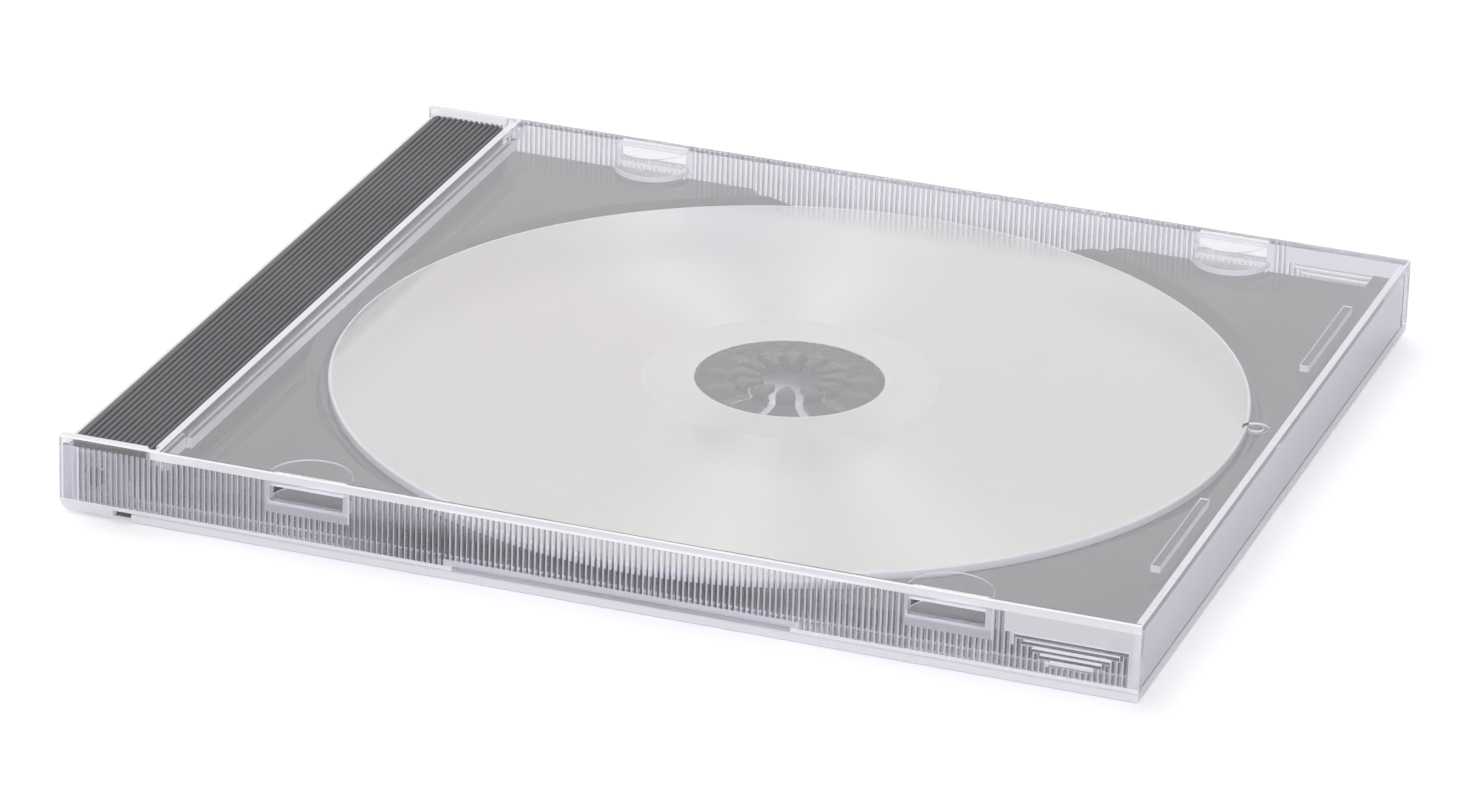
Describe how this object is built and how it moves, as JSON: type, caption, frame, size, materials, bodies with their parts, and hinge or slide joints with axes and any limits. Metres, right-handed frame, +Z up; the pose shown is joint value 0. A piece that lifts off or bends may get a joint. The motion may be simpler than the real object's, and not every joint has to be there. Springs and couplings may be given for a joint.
{
  "type": "cd case",
  "caption": "Slim hinged disc case: clear lid and base, black tray with a fingered hub and a ribbed strip, holding a silver disc.",
  "frame": {"origin": "middle of the underside of the closed case", "axes": "+Z up through the lid, X along the 142 mm length with the hinge at -X and the opening end at +X, Y along the hinge line"},
  "size_m": [0.142, 0.125, 0.0104],
  "materials": {
    "clear_base": "clear moulded polystyrene, gloss",
    "black_tray": "black moulded polystyrene, gloss",
    "clear_lid": "clear moulded polystyrene, gloss",
    "silver_disc": "polycarbonate disc over a silver layer, gloss"
  },
  "bodies": {
    "case": {"base": "clear_base", "tray": "black_tray", "disc": "silver_disc"},
    "lid": {"lid": "clear_lid"}
  },
  "joints": [
    {"name": "lid_hinge", "type": "hinge", "parent": "case", "child": "lid", "pos_m": [-0.0664, 0, 0.0052], "axis": [0, -1, 0], "range_deg": [0, 180]}
  ]
}
